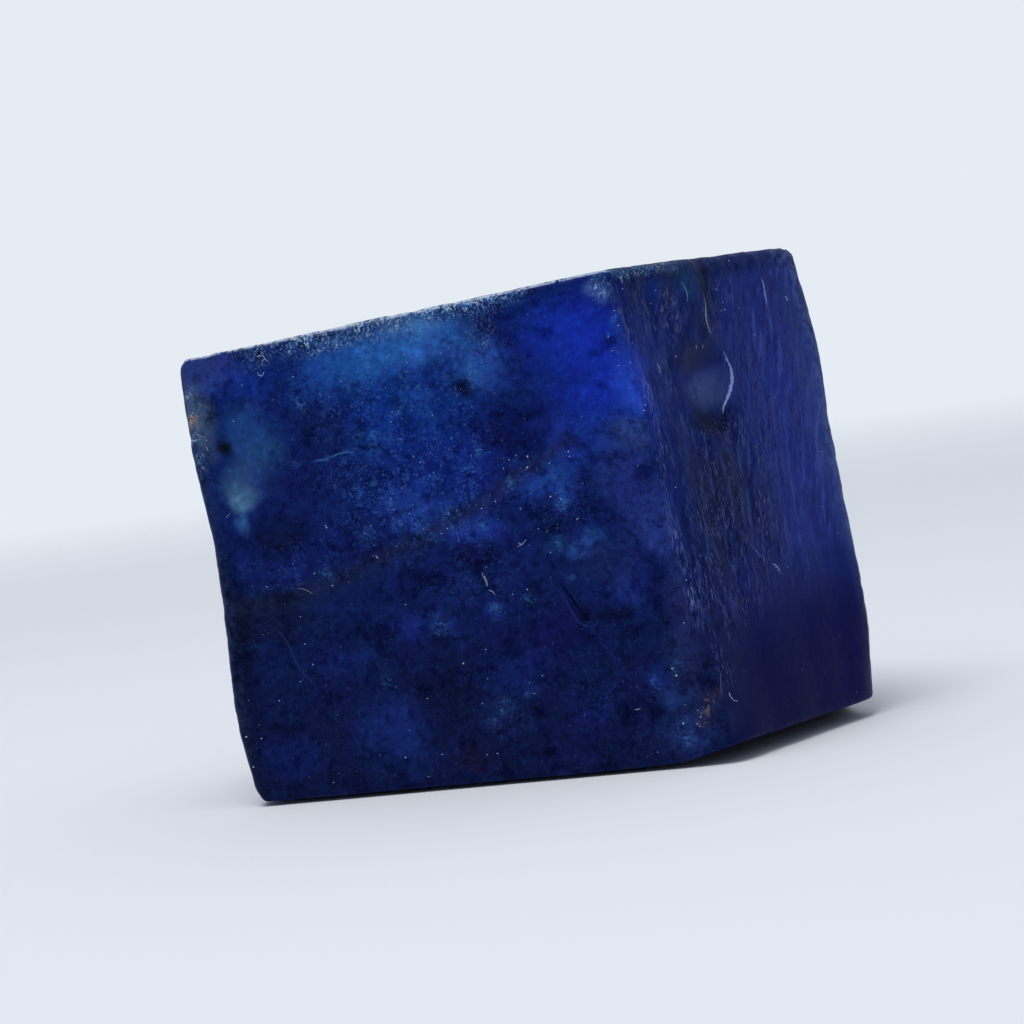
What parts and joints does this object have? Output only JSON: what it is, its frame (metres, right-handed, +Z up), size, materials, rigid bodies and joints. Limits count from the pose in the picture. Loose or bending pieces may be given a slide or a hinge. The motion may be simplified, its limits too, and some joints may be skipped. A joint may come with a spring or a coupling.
{
  "type": "rough tanzanite crystal",
  "caption": "Blocky rough tanzanite crystal with a broad flat face, a striated face with a round pit, a shell-fractured back and a flat base.",
  "frame": {"origin": "middle of the flat base, under the middle of the bounding box", "axes": "+Z up from the base, -Y the way the broad flat face looks, +X towards the striated side"},
  "size_m": [0.0355, 0.0242, 0.0263],
  "materials": {
    "tanzanite": "satin"
  },
  "bodies": {
    "root": {"tanzanite_crystal": "tanzanite"}
  },
  "joints": []
}
